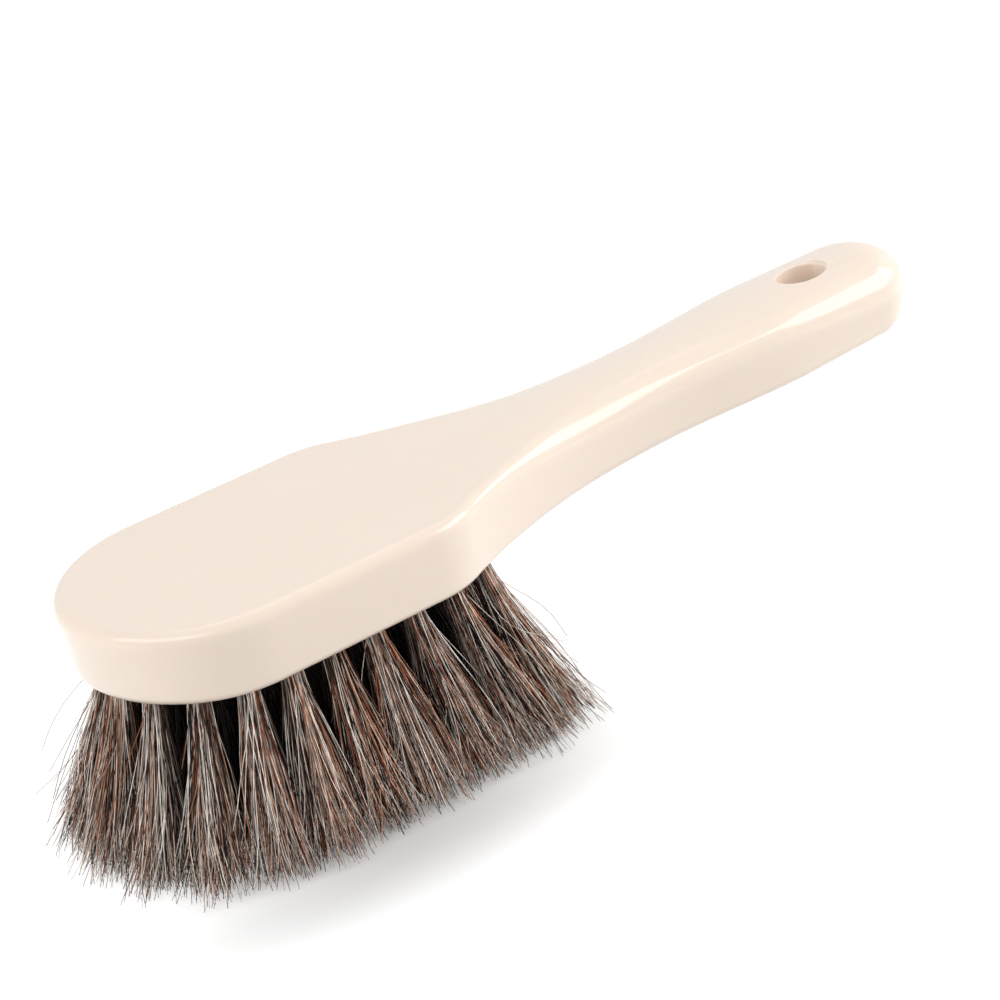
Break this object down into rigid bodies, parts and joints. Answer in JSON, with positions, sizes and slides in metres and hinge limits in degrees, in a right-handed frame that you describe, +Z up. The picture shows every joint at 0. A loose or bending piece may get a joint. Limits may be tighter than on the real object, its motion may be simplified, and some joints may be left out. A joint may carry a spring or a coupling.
{
  "type": "detailing brush",
  "caption": "Short-handled brush with a one-piece moulded block and handle, a hang hole, and flared horsehair tufts held by wire anchors in blind holes.",
  "frame": {"origin": "centre of the bounding box, on the surface that the trimmed tips rest on", "axes": "+Z up from the tips to the block's back, +X along the length towards the handle's end, +Y across the width"},
  "size_m": [0.2264, 0.0726, 0.058],
  "materials": {
    "moulding": "glossy cream polypropylene",
    "horsehair": "mixed natural horsehair, dark brown, rust and grey"
  },
  "bodies": {
    "root": {"block_and_handle": "moulding", "tuft_centre_1": "horsehair", "tuft_centre_2": "horsehair", "tuft_centre_3": "horsehair", "tuft_centre_4": "horsehair", "tuft_centre_5": "horsehair", "tuft_inner_1": "horsehair", "tuft_inner_10": "horsehair", "tuft_inner_11": "horsehair", "tuft_inner_12": "horsehair", "tuft_inner_13": "horsehair", "tuft_inner_2": "horsehair", "tuft_inner_3": "horsehair", "tuft_inner_4": "horsehair", "tuft_inner_5": "horsehair", "tuft_inner_6": "horsehair", "tuft_inner_7": "horsehair", "tuft_inner_8": "horsehair", "tuft_inner_9": "horsehair", "tuft_outer_1": "horsehair", "tuft_outer_10": "horsehair", "tuft_outer_11": "horsehair", "tuft_outer_12": "horsehair", "tuft_outer_13": "horsehair", "tuft_outer_14": "horsehair", "tuft_outer_15": "horsehair", "tuft_outer_16": "horsehair", "tuft_outer_17": "horsehair", "tuft_outer_2": "horsehair", "tuft_outer_3": "horsehair", "tuft_outer_4": "horsehair", "tuft_outer_5": "horsehair", "tuft_outer_6": "horsehair", "tuft_outer_7": "horsehair", "tuft_outer_8": "horsehair", "tuft_outer_9": "horsehair", "tuft_rear_1": "horsehair", "tuft_rear_2": "horsehair", "tuft_rear_3": "horsehair", "tuft_rear_4": "horsehair", "tuft_rear_5": "horsehair"}
  },
  "joints": []
}
